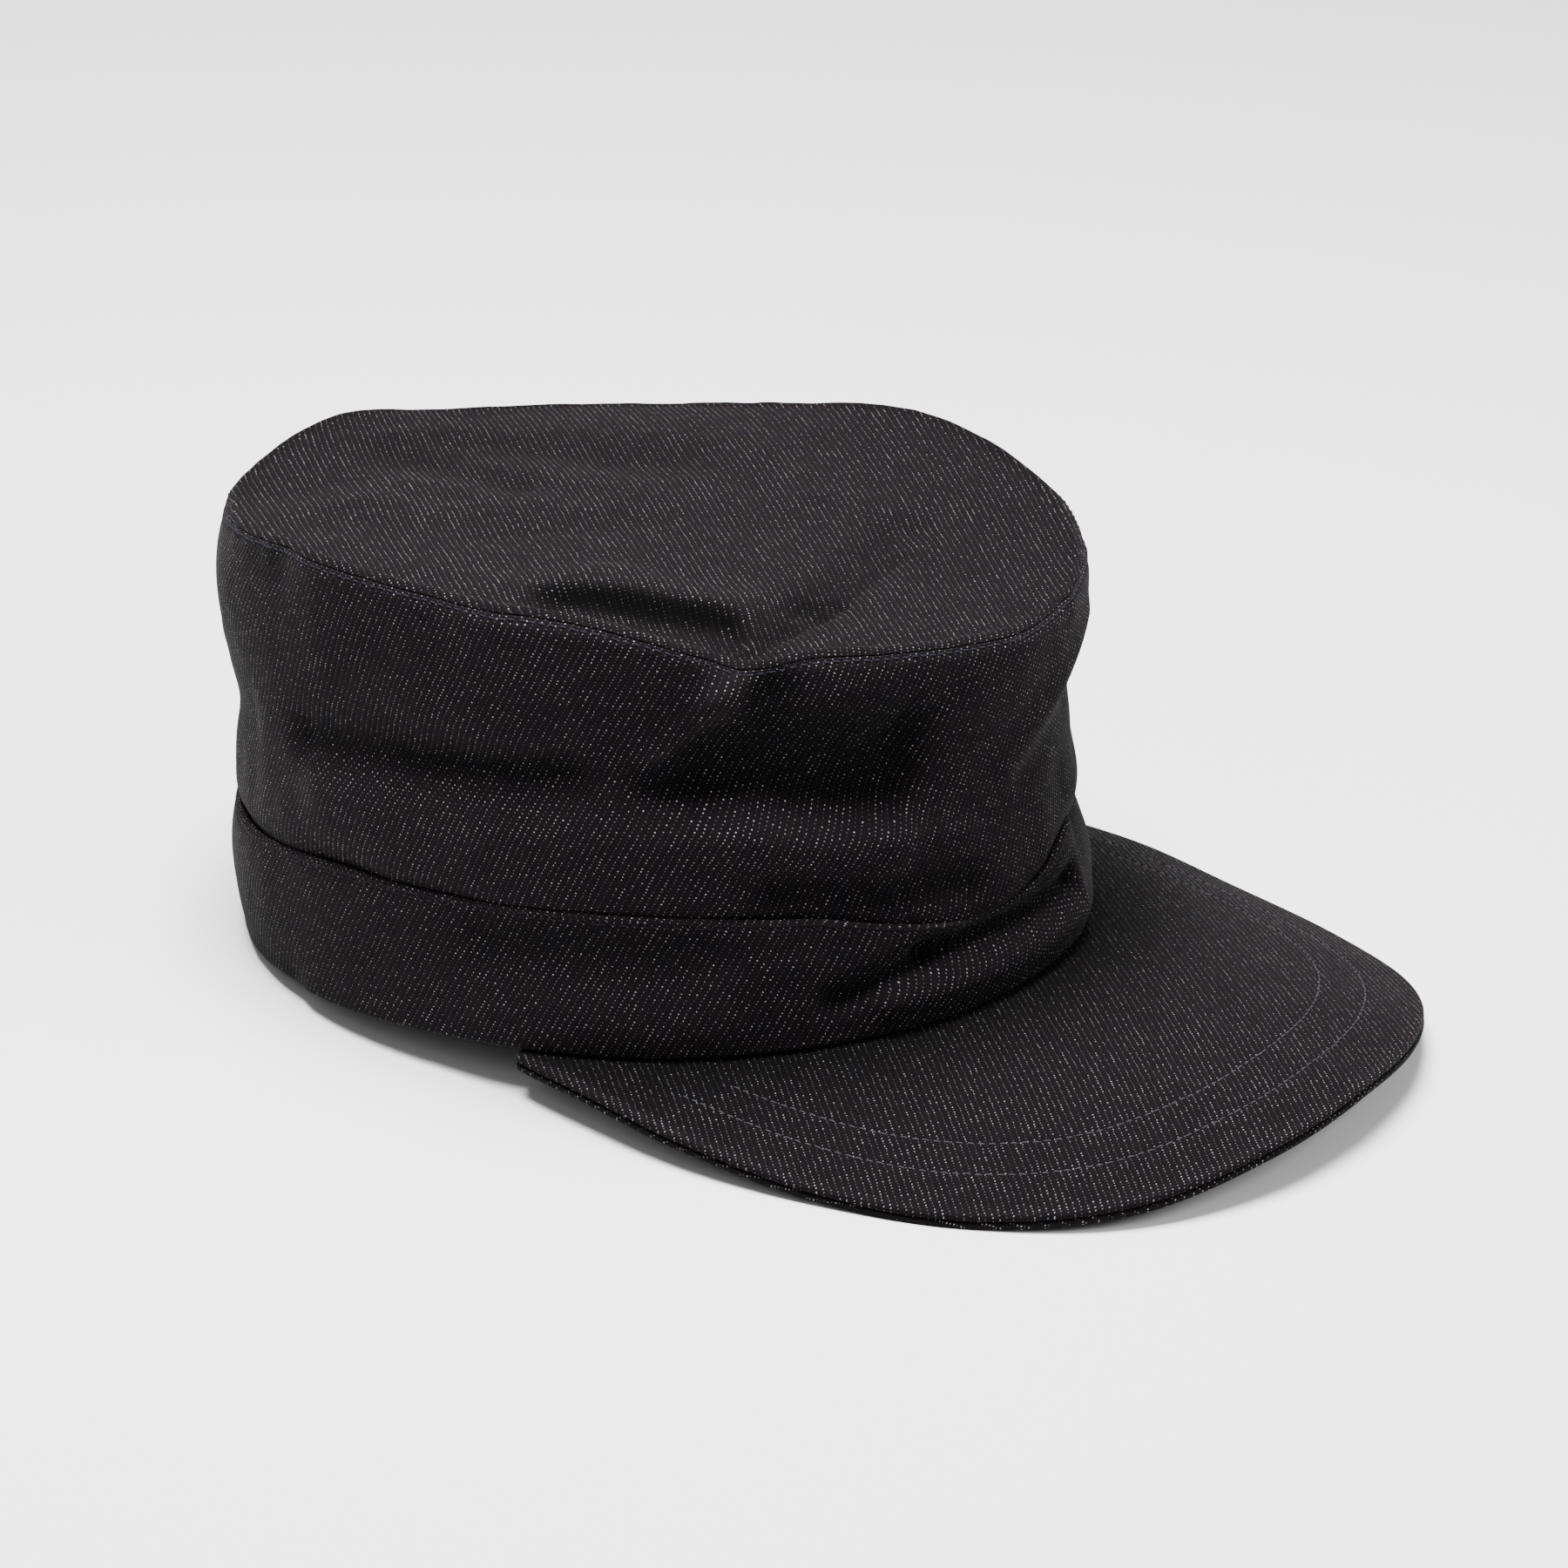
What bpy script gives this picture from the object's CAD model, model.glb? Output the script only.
import math

import bmesh
import bpy
import numpy as np
from mathutils import Matrix, Vector


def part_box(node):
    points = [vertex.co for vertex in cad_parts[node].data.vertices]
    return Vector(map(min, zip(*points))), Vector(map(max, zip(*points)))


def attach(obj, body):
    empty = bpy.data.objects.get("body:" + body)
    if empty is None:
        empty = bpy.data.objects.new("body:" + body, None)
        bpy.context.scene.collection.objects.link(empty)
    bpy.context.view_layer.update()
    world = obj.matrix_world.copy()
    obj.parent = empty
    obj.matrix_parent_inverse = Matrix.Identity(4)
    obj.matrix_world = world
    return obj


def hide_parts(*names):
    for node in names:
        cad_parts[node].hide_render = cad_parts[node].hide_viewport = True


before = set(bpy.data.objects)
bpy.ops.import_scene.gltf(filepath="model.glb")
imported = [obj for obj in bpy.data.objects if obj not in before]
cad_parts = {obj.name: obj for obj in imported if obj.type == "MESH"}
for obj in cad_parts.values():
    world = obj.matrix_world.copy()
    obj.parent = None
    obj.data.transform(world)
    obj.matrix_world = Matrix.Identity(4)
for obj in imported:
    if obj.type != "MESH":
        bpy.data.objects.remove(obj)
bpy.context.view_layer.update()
mm = 0.001
print("frame loaded:", sorted(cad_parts))

# The cap as it is cut and sewn, in millimetres, with the same sizes as its solids.
pattern = {
    "clothThick": 1.6,  # one layer of denim with its turnings
    "bandThick": 2.3,  # the band is folded double
    "seamGap": 0.3,
    "ovalPower": 2.15,
    "rimRound": 3.0,  # the side wall curls over by this at the top seam
    "restTilt": 5.4,  # degrees that the front is raised at rest
    "restFlat": 0.8,
    "topCrown": 1.5,
    "rimReach": 6,
    "seamReach": 12,
    "foldReach": 14,
    "peakFocus": -17.0,
    "peakRoot": 80.0,
    "peakCrown": 1.2,
}

# Turn round the head in degrees (0 front, 90 the wearer's right), band height, rim height.
seamHeights = [
    (0, 20, 82.2), (12, 19.4, 84.2), (27, 24.4, 87.7), (38, 28.8, 89.7), (48, 30.6, 88.7), (58, 31.6, 95.7),
    (70, 32.4, 101.1), (86, 33, 102.9), (107, 33.8, 105.7), (130, 31.5, 103.4), (160, 31, 99.4),
    (188, 32.5, 103), (210, 33, 97.4), (240, 33, 94.2), (262, 33, 95.4), (280, 33, 98.4), (304, 31, 93.6),
    (328, 27.5, 86), (346, 26.6, 83.2),
]

# Rise from the lower seam to the upper, half length, half width, how far the middle lies in front.
wallSections = [(0, 98.8, 83.4, 0.8), (0.1, 99.4, 83.9, 0.9), (0.45, 97.6, 82.5, 1.4), (0.8, 100.4, 84.8, 2.4),
                (1, 100.2, 84.6, 2.5)]
bandSections = [(0, 102, 86, -0.4), (0.5, 101.2, 85.4, 0.1), (1, 100, 84.5, 0.8)]

# Folds: from turn and height, to turn and height, width, how far out.
wallFolds = [
    (44, 90, 60, 71, 5, 2), (54, 69, 26, 63, 11, -5), (50, 92, 44, 84, 6, -3), (57, 97, 80, 98, 9, 2.5),
    (112, 62, 72, 65, 6, -2.6), (62, 63, 26, 54, 6, -2), (108, 52, 50, 52, 8, 2.2), (50, 52, 27, 44, 8, 3),
    (45, 37, 12, 27, 5, -2.5), (-22, 72, 3, 50, 5, 1.6), (116, 104, 152, 103, 10, -3),
    (132, 78, 166, 76, 18, 1), (-44, 84, 2, 82, 12, 1.7), (-50, 40, -14, 38, 9, -1.2),
]
bandFolds = [
    (126, 22, 166, 22, 10, 1.3), (118, 0, 150, 0, 7, -1.7), (-50, 28, -20, 27, 9, -2.4),
    (-12, 14.5, 22, 15.5, 3.5, -3.4), (22, 15.5, 37, 10.5, 3, -2.6), (-14, 7, 28, 7.5, 5, 2.4),
    (56, 24, 84, 24, 7, -1.6), (54, 7, 84, 7, 7, 1.4),
]
# The same for the top panel, from one place in plan to another. The first has a steep edge.
topFolds = [
    (-66.5, -31.5, -55.5, -54.5, 10.5, -5.5, 8), (-70, -17, -48, -28, 8, 1.2), (-48, -28, -41, -54, 8, 1.2),
    (-60, -70, -28, -66, 6, -2.2), (-28, -66, 26, -56, 6, -1.2), (20, 62, 30, 10, 12, -1.4),
    (-20, 50, 0, 20, 14, 1.2),
]
# Degrees away from straight ahead, the edge's reach, how far its upper face lies under the hem.
peakEdge = [(0, 166, 11.4), (12, 164.4, 13.6), (24, 157.6, 17.4), (36, 142.6, 17.8), (48, 125, 14),
            (60, 110.6, 8), (75, 95.4, 2.6), (90, 86, 0)]

# Small creases that are too fine for the solids, in the same columns.
fineWallFolds = [
    (44, 88, 47, 80, 2.2, -0.9), (49, 86, 59, 71, 2.8, 1.3), (60, 71, 66, 62, 3, 0.8),
    (28, 66, 14, 74, 4, -0.9), (30, 47, 12, 40, 3, 0.8),
    (86, 40, 118, 42, 4, 0.6), (70, 70, 92, 76, 5, 0.5), (20, 84, 24, 70, 3, -0.5), (96, 88, 104, 78, 5, -0.6),
    (130, 60, 160, 52, 6, -0.9), (150, 70, 182, 66, 6, 0.8), (200, 48, 236, 56, 7, -1), (222, 78, 250, 70, 6, 0.9),
    (262, 52, 300, 60, 7, -1.1), (284, 80, 312, 70, 6, 0.9), (318, 50, 342, 58, 6, -0.8),
]
fineBandFolds = [(18, 15, 36, 10, 1.3, -0.5), (40, 20, 54, 17, 3, 0.4), (100, 15, 128, 17, 4, -0.4),
                 (170, 16, 196, 14, 5, 0.4), (236, 16, 262, 19, 5, -0.5), (300, 14, 330, 12, 5, 0.5)]
fineTopFolds = [(-50, -62, -30, -52, 3, 0.7), (-76, -25, -67.5, -52, 3.2, -2.0), (-64, -21, -48, -28, 5, -1.0),
                (-60, -70, -20, -68.5, 2, -1.1),
                (-20, -68.5, 12, -64, 2.4, -0.7), (-40, 10, -10, -6, 7, -0.5), (30, -30, 52, -8, 6, 0.5),
                (3, 73, -5, 30, 8, -1.3), (-5, 30, -1, 12, 8, -0.9), (-46, 62, -34, 50, 9, 0.6),
                (-34, 50, -34, 33, 9, 0.8), (10, 90, 50, 70, 6, -0.6)]


def curveThrough(keys, values, place):
    after = np.clip(np.searchsorted(keys, place, side="right"), 2, len(keys) - 2)
    a, b, c, d = (values[after - 2 + step] for step in range(4))
    spanBefore = keys[after - 1] - keys[after - 2]
    span = keys[after] - keys[after - 1]
    spanAfter = keys[after + 1] - keys[after]
    share = (place - keys[after - 1]) / span
    slopeFrom = (c - a) / (spanBefore + span) * span
    slopeTo = (d - b) / (span + spanAfter) * span
    square, cube = share ** 2, share ** 3
    return ((2 * cube - 3 * square + 1) * b + (cube - 2 * square + share) * slopeFrom
            + (3 * square - 2 * cube) * c + (cube - square) * slopeTo)


def readRound(rows, column, turn):
    table = np.array(rows, float)
    keys = np.concatenate([table[-2:, 0] - 360, table[:, 0], table[:2, 0] + 360])
    values = np.concatenate([table[-2:, column], table[:, column], table[:2, column]])
    return curveThrough(keys, values, np.mod(turn, 360))


def readAlong(rows, column, place):
    table = np.array(rows, float)
    keys = np.concatenate([table[:1, 0], table[:, 0], table[-1:, 0]])
    values = np.concatenate([table[:1, column], table[:, column], table[-1:, column]])
    return curveThrough(keys, values, place)


def foldRelief(folds, x, y, stretch=1.0):
    total = 0.0
    for fromX, fromY, toX, toY, width, out, *power in folds:
        alongX, alongY = (toX - fromX) * stretch, toY - fromY
        share = ((x - fromX * stretch) * alongX + (y - fromY) * alongY) / (alongX ** 2 + alongY ** 2)
        share = np.clip(share, 0, 1)
        distance = np.hypot(x - fromX * stretch - share * alongX, y - fromY - share * alongY)
        total = total + out * np.exp(-((distance / width) ** (power[0] if power else 2)))
    return total


def softNoise(x, y, sizeX, sizeY, seed, roundX=None):
    # smooth random hills of about the given sizes, from -1 to 1; roundX is a length that closes on itself
    cells = 96 if roundX is None else max(3, round(roundX / sizeX))
    hills = np.random.default_rng(seed).uniform(-1, 1, (cells, 96))
    u = x / sizeX if roundX is None else x / roundX * cells
    u, v = np.broadcast_arrays(u, y / sizeY)
    wholeU, wholeV = np.floor(u).astype(int), np.floor(v).astype(int)
    shareU, shareV = u - wholeU, v - wholeV
    shareU, shareV = (s * s * s * (s * (s * 6 - 15) + 10) for s in (shareU, shareV))
    corner = lambda du, dv: hills[(wholeU + du) % cells, (wholeV + dv) % 96]
    low = corner(0, 0) * (1 - shareU) + corner(1, 0) * shareU
    high = corner(0, 1) * (1 - shareU) + corner(1, 1) * shareU
    return low * (1 - shareV) + high * shareV


clothPerDegree = math.pi * (bandSections[0][1] + bandSections[0][2]) / 360
roundHead = 360 * clothPerDegree


def wallRelief(folds, turn, height):
    place = np.mod(turn + 180, 360) - 180
    near = foldRelief(folds, place * clothPerDegree, height, clothPerDegree)
    # a fold that runs past the back is met again from the other side
    return near + foldRelief([f for f in folds if max(f[0], f[2]) > 180],
                             (place + 360) * clothPerDegree, height, clothPerDegree)


def swell(value):
    return np.sign(value) * np.abs(value) ** (2 / pattern["ovalPower"])


def ringPoints(turn, long, wide, ahead, height):
    angle = np.radians(turn)
    parts = (-wide * swell(np.sin(angle)), -long * swell(np.cos(angle)) - ahead, height)
    return np.stack(np.broadcast_arrays(*parts), axis=-1)


# How far along the cloth each turn lies from the front.
ringTurns = np.linspace(-180, 180, 1441)
ringPlan = ringPoints(ringTurns, wallSections[2][1], wallSections[2][2], 0, 0)
ringRuns = np.concatenate([[0], np.cumsum(np.linalg.norm(np.diff(ringPlan, axis=0), axis=1))])
ringRuns -= ringRuns[720]


def clothAlong(turn):
    return np.interp(turn, ringTurns, ringRuns)


# How restless each cloth is: the height of its soft hills, and the puckers beside its seams.
relief = {
    "wallHills": 0.55, "wallHillSize": 22, "wallRipple": 0.16, "wallRippleSize": 7,
    "bandHills": 0.28, "bandHillSize": 26, "pucker": 0.16, "puckerSize": 5.2,
    "topHills": 0.5, "topHillSize": 24, "topRipple": 0.13, "topRippleSize": 8,
    "peakHills": 0.14, "peakHillSize": 30,
    "stitchSink": 0.28, "stitchWidth": 0.6,
}

# Where the rows of stitches run, as distances from their edges.
stitchLines = {"rimBelow": 1.8, "bandTop": 1.9, "peakOuter": 13.5, "peakInner": 24.0}

tuckIn = {"deep": 0.8, "high": 1.7}

# The top seam lies on the curl of the rim, and the top panel swells beside it over its turned edge.
topSeam = {"curl": 46, "turnIn": 0.45, "depth": 1.9, "ridge": 0.5, "ridgeAt": 1.5, "ridgeWide": 1.2}


def groove(distance):
    return -relief["stitchSink"] * np.exp(-((distance / relief["stitchWidth"]) ** 2))


def puckers(turn, distance, seed):
    # short ripples that stand across a seam and fade away from it
    along = turn * clothPerDegree
    ripple = softNoise(along, distance, relief["puckerSize"], 14, seed, roundHead)
    return relief["pucker"] * ripple * np.exp(-((distance / 6) ** 2))


def bandPoints(turn, height, inset, detail=1.0):
    tall = readRound(seamHeights, 1, turn)
    rise = height / tall
    out = wallRelief(bandFolds, turn, height)
    if detail:
        along = turn * clothPerDegree
        fine = wallRelief(fineBandFolds, turn, height)
        fine = fine + relief["bandHills"] * softNoise(along, height, relief["bandHillSize"], 14, 21, roundHead)
        fine = fine + groove(tall - height - stitchLines["bandTop"])
        fine = fine + puckers(turn, tall - height - stitchLines["bandTop"], 22)
        fine = fine + 0.7 * puckers(turn, height, 23)
        out = out + detail * fine
    long = readAlong(bandSections, 1, rise) + out - inset
    wide = readAlong(bandSections, 2, rise) + out - inset
    return ringPoints(turn, long, wide, readAlong(bandSections, 3, rise), height)


def wallPoints(turn, rise, inset, drop=0.0, detail=1.0):
    seam = readRound(seamHeights, 1, turn)
    rim = readRound(seamHeights, 2, turn)
    height = seam + rise * (rim - seam) - drop
    out = wallRelief(wallFolds, turn, height)
    if detail:
        along = turn * clothPerDegree
        calm = np.clip((rim - height) / 9, 0.25, 1)  # the seam holds the cloth still
        # the wall's foot goes in behind the band's fold
        out = out - detail * tuckIn["deep"] * np.exp(-((np.maximum(0, height - seam) / tuckIn["high"]) ** 2))
        fine = wallRelief(fineWallFolds, turn, height)
        fine = fine + relief["wallHills"] * softNoise(along, height, relief["wallHillSize"], 17, 11, roundHead)
        fine = fine + relief["wallRipple"] * softNoise(along, height, relief["wallRippleSize"], 9, 12, roundHead)
        below = rim - height - stitchLines["rimBelow"]
        out = out + detail * (fine * calm + groove(below) + 1.2 * puckers(turn, below, 13))
    long = readAlong(wallSections, 1, rise) + out - inset
    wide = readAlong(wallSections, 2, rise) + out - inset
    return ringPoints(turn, long, wide, readAlong(wallSections, 3, rise), height)


# The rim's heights as waves round the head: the top panel hangs between them as a stretched sheet.
waveCount, waveSamples = 9, 180
sampleTurns = np.arange(waveSamples) * 360 / waveSamples
sampleHeights = readRound(seamHeights, 2, sampleTurns)
waves = []
for wave in range(waveCount + 1):
    angle = np.radians(wave * sampleTurns)
    waves.append(((sampleHeights * np.cos(angle)).mean() * (2 if wave else 1),
                  (sampleHeights * np.sin(angle)).mean() * 2))


def stretchedHeight(turn, share):
    total = 0.0
    for wave, (cosine, sine) in enumerate(waves):
        angle = np.radians(wave * turn)
        total = total + share ** wave * (cosine * np.cos(angle) + sine * np.sin(angle))
    return total


def curlPoints(turn, curl, radius, detail=1.0):
    # the rim's round: its curl runs from 0 on the wall to 90 degrees on the top
    rimRound, angle = pattern["rimRound"], np.radians(curl)
    return wallPoints(turn, 1.0, rimRound - radius * np.cos(angle), rimRound - radius * np.sin(angle), detail)


def topPoints(turn, share, inset, detail=1.0):
    rimRound = pattern["rimRound"]
    edge = curlPoints(turn, 90.0, rimRound, detail)
    rim = wallSections[-1]
    plain = ringPoints(turn, rim[1] - rimRound, rim[2] - rimRound, rim[3], 0.0)
    nearRim = share ** pattern["rimReach"]
    x = share * (plain[..., 0] * (1 - nearRim) + edge[..., 0] * nearRim)
    y = share * (plain[..., 1] * (1 - nearRim) + edge[..., 1] * nearRim + rim[3]) - rim[3]
    bulge = pattern["topCrown"] * (1 - share ** 2)
    seamed = (edge[..., 2] - stretchedHeight(turn, 1.0)) * share ** pattern["seamReach"]
    folds = foldRelief(topFolds, x, y)
    if detail:
        fine = foldRelief(fineTopFolds, x, y)
        fine = fine + relief["topHills"] * softNoise(x + 400, y + 400, relief["topHillSize"], 20, 31)
        fine = fine + relief["topRipple"] * softNoise(x + 400, y + 400, relief["topRippleSize"], 7, 32)
        folds = folds + detail * fine
    z = stretchedHeight(turn, share) + seamed + bulge + (1 - share ** pattern["foldReach"]) * folds - inset
    return np.stack(np.broadcast_arrays(x, y, z), axis=-1)


def peakSpoke(turn):
    # the hem, the edge that the same spoke meets, and the drop there
    hem = bandPoints(turn, 0.0, 0.0, 0)
    away = np.arctan2(np.abs(hem[..., 0]), pattern["peakFocus"] - hem[..., 1])
    reach = readAlong(peakEdge, 1, np.degrees(away))
    low = readAlong(peakEdge, 2, np.degrees(away))
    x = np.sign(hem[..., 0]) * reach * np.sin(away)
    y = pattern["peakFocus"] - reach * np.cos(away)
    return np.stack([x, y, -low], axis=-1), low


def peakPoints(turn, share, inset, drop, detail=1.0):
    edge, low = peakSpoke(turn)
    start = bandPoints(turn, 0.0, inset, 0)
    points = start * (1 - share[..., None]) + edge * share[..., None]
    bulge = pattern["peakCrown"] * low / peakEdge[0][2]
    z = points[..., 2] + bulge * np.sin(np.pi * share) - pattern["seamGap"] - drop
    if detail:
        hills = softNoise(points[..., 0] + 500, points[..., 1] + 500, relief["peakHillSize"], 24, 41)
        fromEdge = (1 - share) * np.linalg.norm(edge - start, axis=-1)
        z = z + detail * np.clip(share * 4, 0, 1) * np.clip(fromEdge / 12, 0, 1) * relief["peakHills"] * hills
        for line in ("peakOuter", "peakInner"):
            z = z + detail * 0.8 * groove(fromEdge - stitchLines[line])
    points[..., 2] = z
    return points


# The tilt at rest, and where the cap then stands in the frame.
tilt = math.radians(pattern["restTilt"])
hemBack = bandPoints(np.array(180.0), 0.0, 0.0, 0)
floorHeight = -hemBack[1] * math.sin(tilt) + pattern["restFlat"]


def settle(points, lowest=0.0):
    height = points[..., 2] * math.cos(tilt) - points[..., 1] * math.sin(tilt) - floorHeight
    across = points[..., 1] * math.cos(tilt) + points[..., 2] * math.sin(tilt)
    return np.stack([points[..., 0], across, np.maximum(lowest, height)], axis=-1)


twoLayers = pattern["clothThick"] + pattern["seamGap"]
tipDrops = np.array([twoLayers, twoLayers + pattern["clothThick"]])
tip = settle(peakPoints(np.zeros(2), np.ones(2), pattern["bandThick"], tipDrops, 0))
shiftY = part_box("peak_under")[0].y / mm - tip[:, 1].min()
print("cap placed by its peak, shift", round(float(shiftY), 3), "mm")


def placed(points, lowest=0.0):
    return settle(points, lowest) + np.array([0.0, shiftY, 0.0])


def clothMesh(name, sides, cloths, wears, ring=False, loop=False):
    # sides are the two faces of a sheet as grids of points, or one grid whose rows close on themselves
    columns, rows = sides[0].shape[:2]
    kept = columns - 1 if ring else columns
    points = np.concatenate([side[:kept].reshape(-1, 3) for side in sides]) * mm
    wear = np.concatenate([w[:kept].reshape(-1) for w in wears])
    cloth = np.stack(cloths)
    quads, marks, backs = [], [], []

    def addQuads(side, column, row):
        side, column, row = (np.stack(np.broadcast_arrays(*a), axis=-1).reshape(-1, 4) for a in (side, column, row))
        quads.append((side * kept + column % kept) * rows + row % rows if ring or loop
                     else (side * kept + column) * rows + row)
        marks.append(cloth[side, column, row])
        backs.append(np.full(len(side), int(side.min() == 1)))

    c, r = np.meshgrid(np.arange(columns - 1), np.arange(rows - (0 if loop else 1)), indexing="ij")
    if loop:
        cloth = np.concatenate([cloth, cloth[:, :, :1] + np.array([0.0, 1.0]) * loop], axis=2)
    addQuads((c * 0, c * 0, c * 0, c * 0), (c, c + 1, c + 1, c), (r, r, r + 1, r + 1))
    if len(sides) == 2:
        addQuads((c * 0 + 1,) * 4, (c, c, c + 1, c + 1), (r, r + 1, r + 1, r))
        edge = np.arange(columns - 1)
        for row in (0, rows - 1):
            e = edge * 0 + row
            addQuads((edge * 0, edge * 0, edge * 0 + 1, edge * 0 + 1), (edge, edge + 1, edge + 1, edge), (e,) * 4)
        if not ring:
            edge = np.arange(rows - 1)
            for column in (0, columns - 1):
                e = edge * 0 + column
                addQuads((edge * 0, edge * 0, edge * 0 + 1, edge * 0 + 1), (e,) * 4, (edge, edge + 1, edge + 1, edge))
    mesh = bpy.data.meshes.new(name)
    mesh.from_pydata(points.tolist(), [], np.concatenate(quads).tolist())
    layer = mesh.uv_layers.new(name="cloth")
    layer.data.foreach_set("uv", np.concatenate(marks).astype(np.float32).ravel())
    attribute = mesh.attributes.new("wear", "FLOAT", "POINT")
    attribute.data.foreach_set("value", wear.astype(np.float32))
    mesh.polygons.foreach_set("material_index", np.concatenate(backs).astype(np.int32))
    work = bmesh.new()
    work.from_mesh(mesh)
    bmesh.ops.remove_doubles(work, verts=work.verts, dist=0.002 * mm)
    bmesh.ops.dissolve_degenerate(work, edges=work.edges, dist=0.001 * mm)
    bmesh.ops.recalc_face_normals(work, faces=work.faces)
    work.to_mesh(mesh)
    work.free()
    mesh.shade_smooth()
    obj = bpy.data.objects.new(name, mesh)
    bpy.context.scene.collection.objects.link(obj)
    return obj


def finishPiece(obj, slot, materials, *nodes):
    for material in materials:
        obj.data.materials.append(material)
    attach(obj, "root")
    if nodes:
        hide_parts(*nodes)
    print(obj.name, "made,", sum(len(p.vertices) - 2 for p in obj.data.polygons), "triangles")


class Value:
    # one output of a node, so that sums on it add Math nodes
    def __init__(self, finish, socket):
        self.finish, self.socket = finish, socket

    def __add__(self, other): return self.finish.math("ADD", self, other)
    def __sub__(self, other): return self.finish.math("SUBTRACT", self, other)
    def __mul__(self, other): return self.finish.math("MULTIPLY", self, other)
    def __truediv__(self, other): return self.finish.math("DIVIDE", self, other)
    def __pow__(self, other): return self.finish.math("POWER", self, other)
    def __radd__(self, other): return self.finish.math("ADD", other, self)
    def __rsub__(self, other): return self.finish.math("SUBTRACT", other, self)
    def __rmul__(self, other): return self.finish.math("MULTIPLY", other, self)
    def floor(self): return self.finish.math("FLOOR", self)
    def clamp(self): return self.finish.add("ShaderNodeClamp", {}, {"Value": self})
    def cosine(self): return self.finish.math("COSINE", self)
    def atMost(self, other): return self.finish.math("MINIMUM", self, other)


class Finish:
    def __init__(self, name):
        self.material = bpy.data.materials.new(name)
        self.material.use_nodes = True
        self.nodes, self.links = self.material.node_tree.nodes, self.material.node_tree.links
        self.nodes.clear()

    def add(self, kind, settings=None, inputs=None, output=0):
        node = self.nodes.new(kind)
        for key, setting in (settings or {}).items():
            setattr(node, key, setting)
        for key, value in (inputs or {}).items():
            if isinstance(value, Value):
                self.links.new(value.socket, node.inputs[key])
            else:
                node.inputs[key].default_value = value
        return Value(self, node.outputs[output]) if node.outputs else None

    def math(self, operation, *values):
        return self.add("ShaderNodeMath", {"operation": operation}, dict(enumerate(values)))

    def noise(self, vector, scale, detail=2.0, roughness=0.5):
        return self.add("ShaderNodeTexNoise", {"noise_dimensions": "3D"},
                        {"Vector": vector, "Scale": scale, "Detail": detail, "Roughness": roughness})

    def mixed(self, share, first, second):
        return self.add("ShaderNodeMix", {"data_type": "RGBA"}, {0: share, 6: first, 7: second}, 2)

    def scaled(self, colour, factor):
        return self.add("ShaderNodeVectorMath", {"operation": "SCALE"}, {0: colour, "Scale": factor})

    def vector(self, x, y, z=0.0):
        return self.add("ShaderNodeCombineXYZ", {}, {"X": x, "Y": y, "Z": z})

    def surface(self, constants, linked):
        shader = self.add("ShaderNodeBsdfPrincipled", {}, {**constants, **linked})
        self.add("ShaderNodeOutputMaterial", {}, {"Surface": shader})
        return self.material


# Black denim: black warp over a pale weft that shows as flecks on slanting lines. Lengths in millimetres.
denim = {
    "endPitch": 0.41,
    "pickPitch": 0.715,
    "endsInRepeat": 4,
    "wander": 0.12,  # how far the yarns stray
    "fleckWide": 0.4,  # in warp ends
    "fleckTall": 0.2,  # in picks
    "warp": (0.0024, 0.0018, 0.0023, 1),
    "warpWorn": (0.0080, 0.0065, 0.0078, 1),
    "warpBlue": (0.0025, 0.0021, 0.0062, 1),
    "warpRed": (0.0066, 0.0024, 0.0040, 1),
    "weft": (0.27, 0.262, 0.265, 1),
    "blueShare": 0.6,
    "redShare": 0.5,
    "fleckWear": 0.9,  # how much wear shows the weft
    "fleckHollow": 1.3,  # how much a hollow hides it
    "dyeHollow": 1.4,  # how much darker a hollow is
    "roughness": 0.92,
    "specular": 0.04,
    "sheen": 0.012,
    "bumpHeight": 0.14,
}


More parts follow.
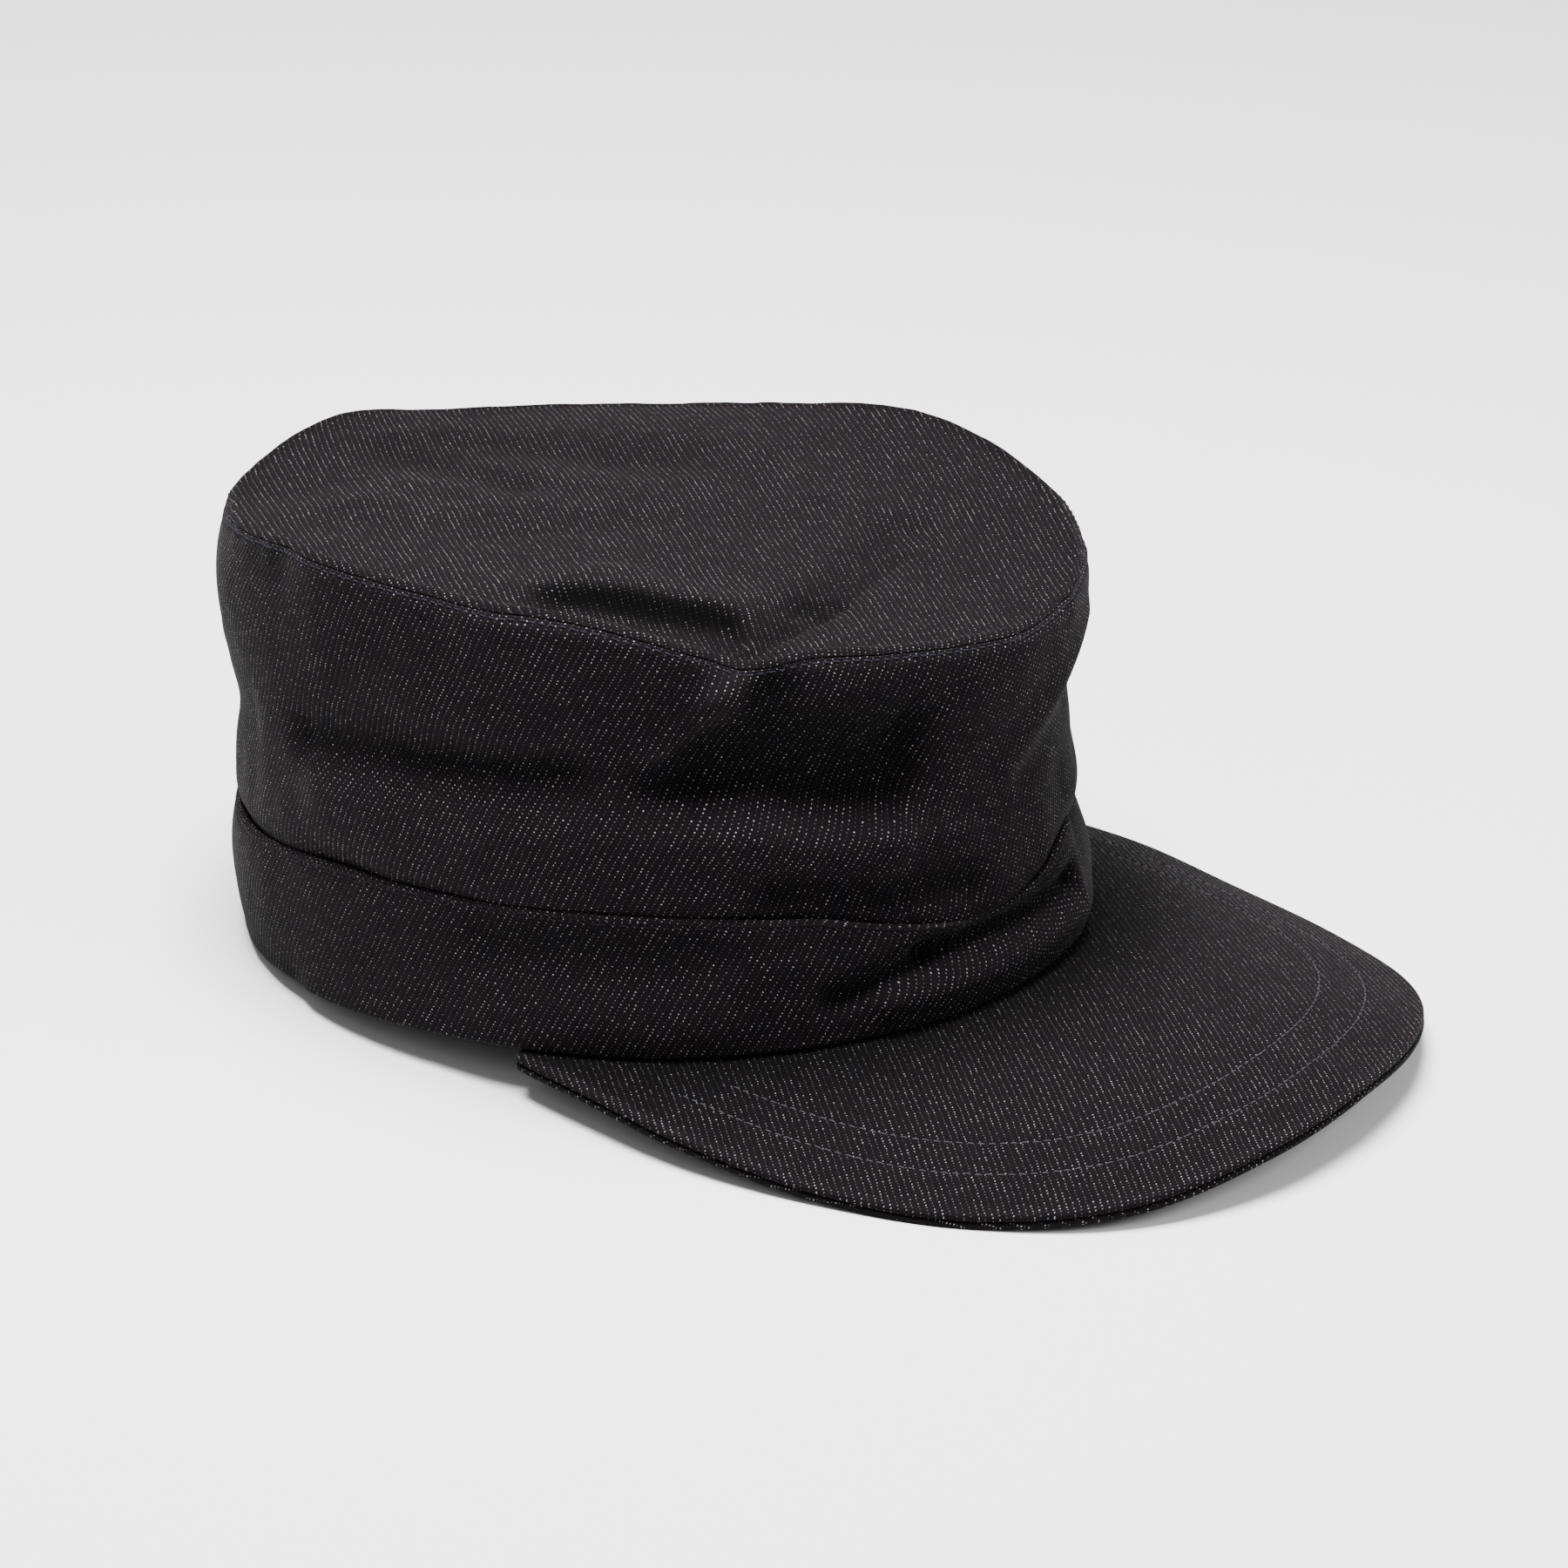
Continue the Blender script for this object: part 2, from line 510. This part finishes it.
def denimFinish(name, fleckLight, tone, reverse=False):
    f = Finish(name)
    cloth = f.add("ShaderNodeUVMap", {"uv_map": "cloth"})
    u = f.add("ShaderNodeSeparateXYZ", {}, {"Vector": cloth}, 0)
    v = f.add("ShaderNodeSeparateXYZ", {}, {"Vector": cloth}, 1)
    # the yarns stray a little from yarn to yarn, and less over wide stretches
    stray = f.noise(f.vector(u, v * 0.25), 0.9, 2, 0.6) - 0.5
    strayAcross = f.noise(f.vector(u * 0.3, v, 7.0), 0.7, 2, 0.5) - 0.5
    drift = f.noise(f.vector(u, v, 15.0), 0.03, 1, 0.5) - 0.5
    u = u + stray * (denim["wander"] * 2) + drift * 1.2
    v = v + strayAcross * (denim["wander"] * 2)
    picks = v / denim["pickPitch"]
    pick = picks.floor()
    inPick = picks - pick - 0.5
    ends = u / denim["endPitch"] - pick
    repeats = ends / denim["endsInRepeat"] + 0.5
    repeat = repeats.floor()
    inEnds = (repeats - repeat - 0.5) * denim["endsInRepeat"]
    chance = f.add("ShaderNodeTexWhiteNoise", {"noise_dimensions": "3D"},
                   {"Vector": f.vector(repeat, pick, 3.0)})
    chanceToo = f.add("ShaderNodeTexWhiteNoise", {"noise_dimensions": "3D"},
                      {"Vector": f.vector(repeat, pick, 11.0)})
    wide = (inEnds + (chanceToo - 0.5) * 0.5) / (denim["fleckWide"] * (0.7 + 0.5 * chanceToo))
    tall = (inPick + (chance - 0.5) * 0.3) / denim["fleckTall"]
    fleck = (1.25 - (wide * wide + tall * tall)).clamp()
    patches = f.noise(cloth, 0.075, 3, 0.6)
    thick = f.noise(f.vector(u * 0.35, v * 1.5, 21.0), 1.0, 2, 0.6)  # a weft yarn's thick and thin places
    showing = (chance ** 2.2 + chance ** 12 * 0.9) * (0.3 + 1.2 * patches) * (0.45 + 1.1 * thick)
    wear = f.add("ShaderNodeAttribute", {"attribute_name": "wear"}, {}, 2)
    hollow = wear.atMost(0.0)
    fleckShare = fleck * (0.1 + showing) * (fleckLight + (wear - hollow) * denim["fleckWear"])
    fleckShare = fleckShare * (1 + denim["fleckHollow"] * hollow)

    # the twill's slanting ribs and the single warp yarns on them
    rib = (inEnds * (2 * math.pi / denim["endsInRepeat"])).cosine() * -0.5 + 0.5
    yarn = (ends * (2 * math.pi)).cosine() * 0.5 + 0.5
    slub = f.noise(f.vector(u * 2.4, v * 0.22, 1.0), 1.0, 2, 0.6)
    fuzz = f.noise(cloth, 3.2, 2, 0.7)
    worn = (0.35 * patches + 0.45 * (slub - 0.3) + 0.35 * wear + 0.25 * rib * fuzz).clamp()
    colour = f.mixed(worn, denim["warp"], denim["warpWorn"])
    tint = ((f.noise(cloth, 0.16, 3, 0.65) - 0.5) * 3.0).clamp()
    colour = f.mixed(tint * denim["blueShare"], colour, denim["warpBlue"])
    redness = ((f.noise(f.vector(u, v, 33.0), 0.22, 3, 0.7) - 0.55) * 4.0).clamp()
    colour = f.mixed(redness * denim["redShare"], colour, denim["warpRed"])
    # the hollows of the folds keep their dye, the rest has faded a little
    colour = f.scaled(colour, 1 + denim["dyeHollow"] * hollow)
    colour = f.mixed(fleckShare.clamp(), colour, denim["weft"])
    if reverse:
        colour = f.mixed((1 - fleck * 1.1).clamp() * (0.5 + 0.4 * fuzz), denim["warp"], denim["weft"])
    colour = f.scaled(colour, tone)

    # a crossing sinks the weft between the warp yarns
    height = 0.5 * rib + 0.22 * yarn * rib + 0.35 * fuzz * rib - 0.25 * fleck + 0.35 * slub
    bump = f.add("ShaderNodeBump", {}, {"Strength": 0.75, "Distance": denim["bumpHeight"] * mm, "Height": height})
    rough = denim["roughness"] - 0.08 * fleck
    return f.surface({"Specular IOR Level": denim["specular"], "Sheen Weight": denim["sheen"],
                      "Sheen Roughness": 0.4, "Sheen Tint": (1.0, 0.97, 0.96, 1)},
                     {"Base Color": colour, "Roughness": rough, "Normal": bump})


def threadFinish(name, colour):
    f = Finish(name)
    place = f.add("ShaderNodeTexCoord", {}, {}, 3)
    twist = f.noise(place, 5200.0, 2, 0.6)
    shade = f.mixed(twist, tuple(0.55 * c for c in colour[:3]) + (1,), tuple(1.5 * c for c in colour[:3]) + (1,))
    bump = f.add("ShaderNodeBump", {}, {"Strength": 0.5, "Distance": 0.05 * mm, "Height": twist})
    return f.surface({"Specular IOR Level": 0.06, "Roughness": 0.8}, {"Base Color": shade, "Normal": bump})


topDenim = denimFinish("denim_top", 1.0, 0.52)
sideDenim = denimFinish("denim_side", 0.95, 0.74)
bandDenim = denimFinish("denim_band", 1.0, 0.62)
peakDenim = denimFinish("denim_peak", 1.25, 0.52)
reverseDenim = denimFinish("denim_reverse", 0.8, 0.8, reverse=True)
rimThread = threadFinish("thread_rim", (0.011, 0.011, 0.016))
bandThread = threadFinish("thread_band", (0.006, 0.0058, 0.0075))
peakThread = threadFinish("thread_peak", (0.026, 0.025, 0.029))
print("finishes made")


# Rows and columns of the cloth grids.
grids = {"turns": 540, "wallRows": 56, "bandRows": 26, "topRows": 74, "peakTurns": 300, "peakRows": 84}
headTurns = np.linspace(-180, 180, grids["turns"] + 1)[:, None]


def nearly(value, shape):
    return np.broadcast_to(value, shape).astype(float)


# How the cloth has faded: paler on ridges and folded edges, darker in hollows. Widths in millimetres.
fading = {
    "perMm": 0.13, "palest": 0.3, "darkest": -0.42, "topDarkest": -0.24,
    "steep": 0.5, "steepFrom": 0.2, "steepDarkest": -0.64,
    "bandFold": 0.75, "bandHem": 0.3, "bandWide": 1.5,
    "wallSeam": 0.5, "wallWide": 1.0, "topSeam": 0.35,
    "peakEdge": 0.9, "peakEdgeWide": 1.6, "peakRoot": 0.42, "peakRootWide": 30,
}
# Degrees between the warp and the cap's length.
clothGrain = {"top": 14.0, "peak": 14.0}


def faded(out, darkest=fading["darkest"]):
    return np.clip(fading["perMm"] * out, darkest, fading["palest"])


def beside(distance, wide):
    return np.exp(-((distance / wide) ** 2))


def laidOut(points, last, grainTurn):
    # the cloth's own plane: each spoke laid out flat at its full length, then turned to the grain
    spoke = points[:, last, :2] - points[:, 0, :2]
    spoke /= np.linalg.norm(spoke, axis=-1, keepdims=True)
    run = np.cumsum(np.linalg.norm(np.diff(points, axis=1), axis=-1), axis=1)
    run = np.concatenate([0 * run[:, :1], run], axis=1)
    flat = points[:, :1, :2] + spoke[:, None] * run[..., None]
    grain = math.radians(grainTurn)
    return np.stack([flat[..., 0] * math.cos(grain) - flat[..., 1] * math.sin(grain),
                     flat[..., 0] * math.sin(grain) + flat[..., 1] * math.cos(grain)], axis=-1)


def makeBand():
    r = pattern["bandThick"] / 2
    tall = readRound(seamHeights, 1, headTurns)
    share = np.linspace(0, 1, grids["bandRows"])[None, :]
    share = 0.5 - 0.5 * np.cos(np.pi * share) * (0.6 + 0.4 * np.abs(np.cos(np.pi * share)))  # closer at the folds
    arc = np.radians(np.linspace(0, 180, 11)[1:-1])[None, :]
    down = (tall - r) - share * (tall - 2 * r)
    parts = [  # height and inset, down the outside, round the hem, up the inside, over the top
        (down, nearly(0.0, down.shape)),
        (r - r * np.sin(arc) + 0 * tall, r - r * np.cos(arc) + 0 * tall),
        (down[:, ::-1], nearly(2 * r, down.shape)),
        (tall - r + r * np.sin(arc[:, ::-1]), r - r * np.cos(arc[:, ::-1]) + 0 * tall),
    ]
    height = np.concatenate([p[0] for p in parts], axis=1)
    inset = np.concatenate([p[1] for p in parts], axis=1)
    points = placed(bandPoints(headTurns, height, inset))
    steps = np.hypot(np.diff(height, axis=1), np.diff(inset, axis=1))
    run = -np.concatenate([np.zeros((len(height), 1)), np.cumsum(steps, axis=1)], axis=1)
    cloth = np.stack([nearly(-clothAlong(headTurns), run.shape), run + 20], axis=-1)
    fromTop = np.abs(tall - height)
    wear = fading["bandFold"] * beside(fromTop, fading["bandWide"])
    wear = wear + fading["bandHem"] * beside(height, fading["bandWide"])
    wear = wear + faded(wallRelief(bandFolds + fineBandFolds, headTurns, height))
    loopLength = float(run[0, -1] - (height[0, 0] - height[0, -1]))
    band = clothMesh("band", [points], [cloth], [wear], ring=True, loop=loopLength)
    finishPiece(band, "denim_band", [bandDenim], "band")


def seamRows(depth, radius, way):
    # curls and radii where a cloth turns down into the top seam, on the wall's side (-1) or the top's (1)
    turned = np.radians(np.linspace(0, 90, 7))[None, :]
    bend = topSeam["turnIn"]
    start = topSeam["curl"] + way * (math.degrees(bend / pattern["rimRound"]) + 0.8)
    if depth:
        return start - way * np.linspace(0, 8, 8)[None, :], radius - np.linspace(0, 0.25, 8)[None, :]
    curls = start - way * np.degrees(bend * np.sin(turned) / pattern["rimRound"])
    curls = np.concatenate([curls, curls[:, -1:]], axis=1)
    radii = radius - bend * (1 - np.cos(turned))
    return curls, np.concatenate([radii, [[radius - topSeam["depth"]]]], axis=1)


def makeSideWall():
    thick, rimRound = pattern["clothThick"], pattern["rimRound"]
    turn = headTurns
    tall = readRound(seamHeights, 1, turn)
    rim = readRound(seamHeights, 2, turn)
    rises = np.linspace(0, 1, grids["wallRows"])[None, :] * (1 - rimRound / (rim - tall))
    tuck = np.array([0.55, 0.7, 0.85, 0.97])[None, :]
    seamStart = seamRows(0, rimRound, -1)[0][0, 0]
    curl = np.linspace(0, seamStart, 8)[None, 1:-1]

    def face(depth):
        behind = pattern["bandThick"] + pattern["seamGap"] + depth
        lower = bandPoints(turn, tuck * tall, behind, 0)
        curls, radii = seamRows(depth, rimRound - depth, -1)
        return np.concatenate([lower, wallPoints(turn, rises, depth), curlPoints(turn, curl, rimRound - depth),
                               curlPoints(turn, curls, radii)], axis=1)

    outer, inner = face(0.0)[:, ::-1], face(thick)[:, ::-1]
    bend = topSeam["turnIn"]
    past = np.concatenate([np.linspace(0, bend * math.pi / 2, 7), [topSeam["depth"] + 0.3]])[None, :]
    curled = rimRound * np.radians(np.concatenate([curl, [[seamStart]]], axis=1))
    heights = [tuck * tall, tall + rises * (rim - tall), rim - rimRound + curled[:, :-1] + 0 * rim,
               rim - rimRound + curled[:, -1:] + past]
    height = np.concatenate(heights, axis=1)[:, ::-1]
    cloth = np.stack([nearly(-clothAlong(turn), height.shape), height], axis=-1)
    fromSeam = rim - rimRound + curled[0, -1] + 0.3 - height
    wear = fading["wallSeam"] * beside(fromSeam, fading["wallWide"])
    wear = wear + faded(wallRelief(wallFolds + fineWallFolds, turn, height))
    wall = clothMesh("crown_side", [placed(outer), placed(inner)], [cloth, cloth], [wear, 0 * wear], ring=True)
    finishPiece(wall, "denim_side", [sideDenim, reverseDenim], "crown_side")


def makeTop():
    thick, rimRound = pattern["clothThick"], pattern["rimRound"]
    turn = headTurns
    shares = np.linspace(0, 1, grids["topRows"])[None, :]
    shares = 1 - (1 - shares) ** 1.25
    seamStart = seamRows(0, rimRound, 1)[0][0, 0]
    curl = np.linspace(90, seamStart, 8)[None, 1:-1]
    edge = topPoints(turn, np.ones((1, 1)), 0.0, 0)
    reach = np.linalg.norm(edge[..., :2] - np.array([0.0, -wallSections[-1][3]]), axis=-1)
    lump = 1 + 0.5 * softNoise(clothAlong(turn), 0 * turn + 5, 6, 9, 61)

    def ridge(fromSeam):
        return topSeam["ridge"] * lump * np.exp(-(((fromSeam - topSeam["ridgeAt"]) / topSeam["ridgeWide"]) ** 2))

    def face(depth):
        over = rimRound * np.radians(90 - seamStart)
        swelling = ridge((1 - shares) * reach + over) * (depth == 0)
        radius = rimRound - depth + ridge(rimRound * np.radians(curl - seamStart)) * (depth == 0)
        curls, radii = seamRows(depth, rimRound - depth, 1)
        if depth == 0:
            radii = radii + ridge(0.0)
        return np.concatenate([topPoints(turn, shares, depth - swelling), curlPoints(turn, curl, radius),
                               curlPoints(turn, curls, radii)], axis=1)

    outer, inner = face(0.0), face(thick)
    rows = shares.shape[1]
    cloth = laidOut(outer, rows - 1, clothGrain["top"])
    # the steep side of the hollow hasn't faded either
    step = np.linalg.norm(np.gradient(outer[..., :2], axis=1), axis=-1)
    fall = -np.gradient(outer[..., 2], axis=1) / np.maximum(0.01, step)
    wear = faded(foldRelief(topFolds + fineTopFolds, outer[..., 0], outer[..., 1]), fading["topDarkest"])
    wear = wear - fading["steep"] * np.clip(fall - fading["steepFrom"], 0, 1)
    wear = np.maximum(fading["steepDarkest"], wear)
    wear[:, rows:] = fading["topSeam"]
    top = clothMesh("crown_top", [placed(outer), placed(inner)], [cloth, cloth], [wear, 0 * wear], ring=True)
    finishPiece(top, "denim_top", [topDenim, reverseDenim], "crown_top")


def makePeakLayer(name, drop, inset, lowest, upward):
    # one cloth of the peak: its two faces meet in a round edge
    thick = pattern["clothThick"]
    r = thick / 2
    turn = np.linspace(-pattern["peakRoot"], pattern["peakRoot"], grids["peakTurns"] + 1)[:, None]
    edge, low = peakSpoke(turn)
    length = np.linalg.norm(edge - bandPoints(turn, 0.0, inset, 0), axis=-1)
    shares = np.linspace(0, 1, grids["peakRows"])[None, :]
    shares = 1 - (1 - shares) ** 1.15
    arc = np.radians(np.linspace(90, 6, 10)[1:])[None, :]
    flat = np.maximum(0.0, 1 - r / length)

    def face(side):  # +1 the upper face, -1 the lower
        share = np.concatenate([shares * flat, flat + r * np.cos(arc) / length * (length > 2 * r)], axis=1)
        fall = np.concatenate([nearly(r - side * r, shares.shape), r - side * r * np.sin(arc)], axis=1)
        return peakPoints(turn, share, inset, drop + fall)

    upper, lower = face(1), face(-1)
    cloth = laidOut(upper, -1, clothGrain["peak"]) * np.array([1 if upward else -1, 1])
    fromEdge = np.concatenate([(1 - shares) * length, 0 * arc + 0 * length], axis=1)
    wear = fading["peakEdge"] * beside(fromEdge, fading["peakEdgeWide"])
    wear = wear - fading["peakRoot"] * beside(length - fromEdge, fading["peakRootWide"])
    sides = [placed(upper, lowest), placed(lower, lowest)]
    layer = clothMesh(name, sides, [cloth, cloth], [wear, wear])
    finishPiece(layer, "denim_peak", [peakDenim, peakDenim], name)


makeBand()
makeSideWall()
makeTop()
makePeakLayer("peak_top", 0.0, pattern["bandThick"], twoLayers, True)
makePeakLayer("peak_under", twoLayers, pattern["bandThick"] + pattern["seamGap"], 0.0, False)

# Lock stitches: each one a short length of thread that lies on the cloth and dives in at both ends.
stitch = {"pitch": 2.35, "length": 1.85, "radius": 0.19, "lift": 0.17, "sink": 0.28, "rings": 7, "sides": 6}


def stitchRow(name, surface, turns, material, seed):
    # surface gives points for a turn and a small step across the row
    fine = np.linspace(turns[0], turns[1], 3000)
    line = surface(fine, 0.0)
    run = np.concatenate([[0], np.cumsum(np.linalg.norm(np.diff(line, axis=0), axis=1))])
    count = int(run[-1] / stitch["pitch"])
    random = np.random.default_rng(seed)
    middle = (np.arange(count) + 0.5) * run[-1] / count + random.normal(0, 0.06, count)
    along = np.linspace(-1, 1, stitch["rings"])
    place = middle[:, None] + along[None, :] * stitch["length"] / 2
    turn = np.interp(place, run, fine)
    across = random.normal(0, 0.05, count)[:, None] + along[None, :] * 0.07
    centre = surface(turn, across)
    forward = surface(turn + 0.05, across) - surface(turn - 0.05, across)
    sideways = surface(turn, across + 0.3) - surface(turn, across - 0.3)
    forward /= np.linalg.norm(forward, axis=-1, keepdims=True)
    normal = np.cross(forward, sideways)
    normal /= np.linalg.norm(normal, axis=-1, keepdims=True)
    normal *= np.sign((normal * outward(centre)).sum(axis=-1, keepdims=True).mean())
    sideways = np.cross(normal, forward)
    rise = stitch["lift"] - (stitch["lift"] + stitch["sink"]) * along ** 4
    centre = centre + normal * rise[None, :, None]
    around = np.arange(stitch["sides"]) * 2 * math.pi / stitch["sides"]
    radius = stitch["radius"] * (1 - 0.35 * along ** 4)
    ring = (normal[:, :, None] * np.sin(around)[None, None, :, None] * 0.8
            + sideways[:, :, None] * np.cos(around)[None, None, :, None]) * radius[None, :, None, None]
    points = centre[:, :, None] + ring
    rings, sides = stitch["rings"], stitch["sides"]
    base = (np.arange(count) * rings * sides)[:, None, None]
    ringAt, sideAt = np.arange(rings - 1)[None, :, None], np.arange(sides)[None, None, :]
    nextSide = (sideAt + 1) % sides
    corners = [base + ringAt * sides + sideAt, base + ringAt * sides + nextSide,
               base + (ringAt + 1) * sides + nextSide, base + (ringAt + 1) * sides + sideAt]
    faces = np.stack(np.broadcast_arrays(*corners), axis=-1).reshape(-1, 4).tolist()
    for first in base.ravel():
        faces.append([int(first) + s for s in reversed(range(sides))])
        faces.append([int(first) + (rings - 1) * sides + s for s in range(sides)])
    mesh = bpy.data.meshes.new(name)
    mesh.from_pydata((points.reshape(-1, 3) * mm).tolist(), [], faces)
    mesh.shade_smooth()
    obj = bpy.data.objects.new(name, mesh)
    bpy.context.scene.collection.objects.link(obj)
    finishPiece(obj, None, [material])


def outward(points):
    # a direction that leaves the cap at these points
    middle = np.array([0.0, shiftY, 30.0])
    return points - middle


def rimLine(turn, across):
    curl = math.degrees(math.asin(1 - stitchLines["rimBelow"] / pattern["rimRound"]))
    return placed(curlPoints(turn, curl + np.degrees(across / pattern["rimRound"]), pattern["rimRound"]))


def bandTopLine(turn, across):
    return placed(bandPoints(turn, readRound(seamHeights, 1, turn) - stitchLines["bandTop"] + across, 0.0))


def peakLine(distance):
    def line(turn, across):
        edge, low = peakSpoke(turn)
        length = np.linalg.norm(edge - bandPoints(turn, 0.0, pattern["bandThick"], 0), axis=-1)
        return placed(peakPoints(turn, 1 - (distance + across) / length, pattern["bandThick"], 0.0), twoLayers)
    return line


stitchRow("rim_stitches", rimLine, (-180, 180), rimThread, 51)
stitchRow("band_top_stitches", bandTopLine, (-180, 180), bandThread, 52)
stitchRow("peak_outer_stitches", peakLine(stitchLines["peakOuter"]), (-58, 58), peakThread, 54)
stitchRow("peak_inner_stitches", peakLine(stitchLines["peakInner"]), (-52, 52), peakThread, 55)

# The photograph's view. The image is taken as 1800 pixels square.
photo = {"azimuth": -57.6, "elevation": 23.5, "roll": 1.0, "distance": 1300, "aim": (0, 0, 50),
         "pixelsPerMm": 5.086, "aimX": 925.4, "aimY": 892.4, "size": 1800, "sensor": 36}


def makeCamera():
    a, e, r = (math.radians(photo[key]) for key in ("azimuth", "elevation", "roll"))
    back = Vector((math.sin(a) * math.cos(e), -math.cos(a) * math.cos(e), math.sin(e)))
    right = Vector((math.cos(a), math.sin(a), 0))
    up = back.cross(right)
    right, up = right * math.cos(r) + up * math.sin(r), up * math.cos(r) - right * math.sin(r)
    data = bpy.data.cameras.new("camera")
    data.sensor_width = photo["sensor"]
    data.lens = photo["pixelsPerMm"] * photo["distance"] / photo["size"] * photo["sensor"]
    data.shift_x = (photo["size"] / 2 - photo["aimX"]) / photo["size"]
    data.shift_y = (photo["aimY"] - photo["size"] / 2) / photo["size"]
    data.clip_start, data.clip_end = 0.05, 60
    camera = bpy.data.objects.new("camera", data)
    turned = Matrix((right, up, back)).transposed().to_4x4()
    turned.translation = (Vector(photo["aim"]) + back * photo["distance"]) * mm
    camera.matrix_world = turned
    bpy.context.scene.collection.objects.link(camera)
    bpy.context.scene.camera = camera


# Soft studio light: name, place, size, watts, colour.
lights = [
    ("softbox_above", (-0.12, 0.1, 1.4), 0.7, 125, (1.0, 0.99, 0.98)),
    ("softbox_left", (-1.2, 0.1, 0.95), 0.8, 3, (0.97, 0.98, 1.0)),
    ("softbox_front", (0.1, -1.4, 1.1), 0.8, 24, (1.0, 1.0, 1.0)),
]
stageLook = {"floor": (0.62, 0.62, 0.62, 1), "floorSize": 12.0, "world": (1.0, 1.0, 1.0, 1), "worldStrength": 0.4}


def makeStage():
    mesh = bpy.data.meshes.new("floor")
    half = stageLook["floorSize"] / 2
    mesh.from_pydata([(-half, -half, 0), (half, -half, 0), (half, half, 0), (-half, half, 0)], [], [(0, 1, 2, 3)])
    floor = bpy.data.objects.new("floor", mesh)
    paint = Finish("floor_paint")
    mesh.materials.append(paint.surface({"Base Color": stageLook["floor"], "Roughness": 0.9}, {}))
    bpy.context.scene.collection.objects.link(floor)
    world = bpy.data.worlds.new("studio")
    world.use_nodes = True
    background = world.node_tree.nodes["Background"]
    background.inputs["Color"].default_value = stageLook["world"]
    background.inputs["Strength"].default_value = stageLook["worldStrength"]
    bpy.context.scene.world = world
    for name, place, size, watts, colour in lights:
        data = bpy.data.lights.new(name, "AREA")
        data.shape, data.size, data.energy, data.color = "SQUARE", size, watts, colour
        lamp = bpy.data.objects.new(name, data)
        lamp.location = place
        lamp.rotation_euler = (Vector((0, 0, 0.05)) - Vector(place)).to_track_quat("-Z", "Y").to_euler()
        bpy.context.scene.collection.objects.link(lamp)


makeCamera()
makeStage()
print("camera, floor and lights made")
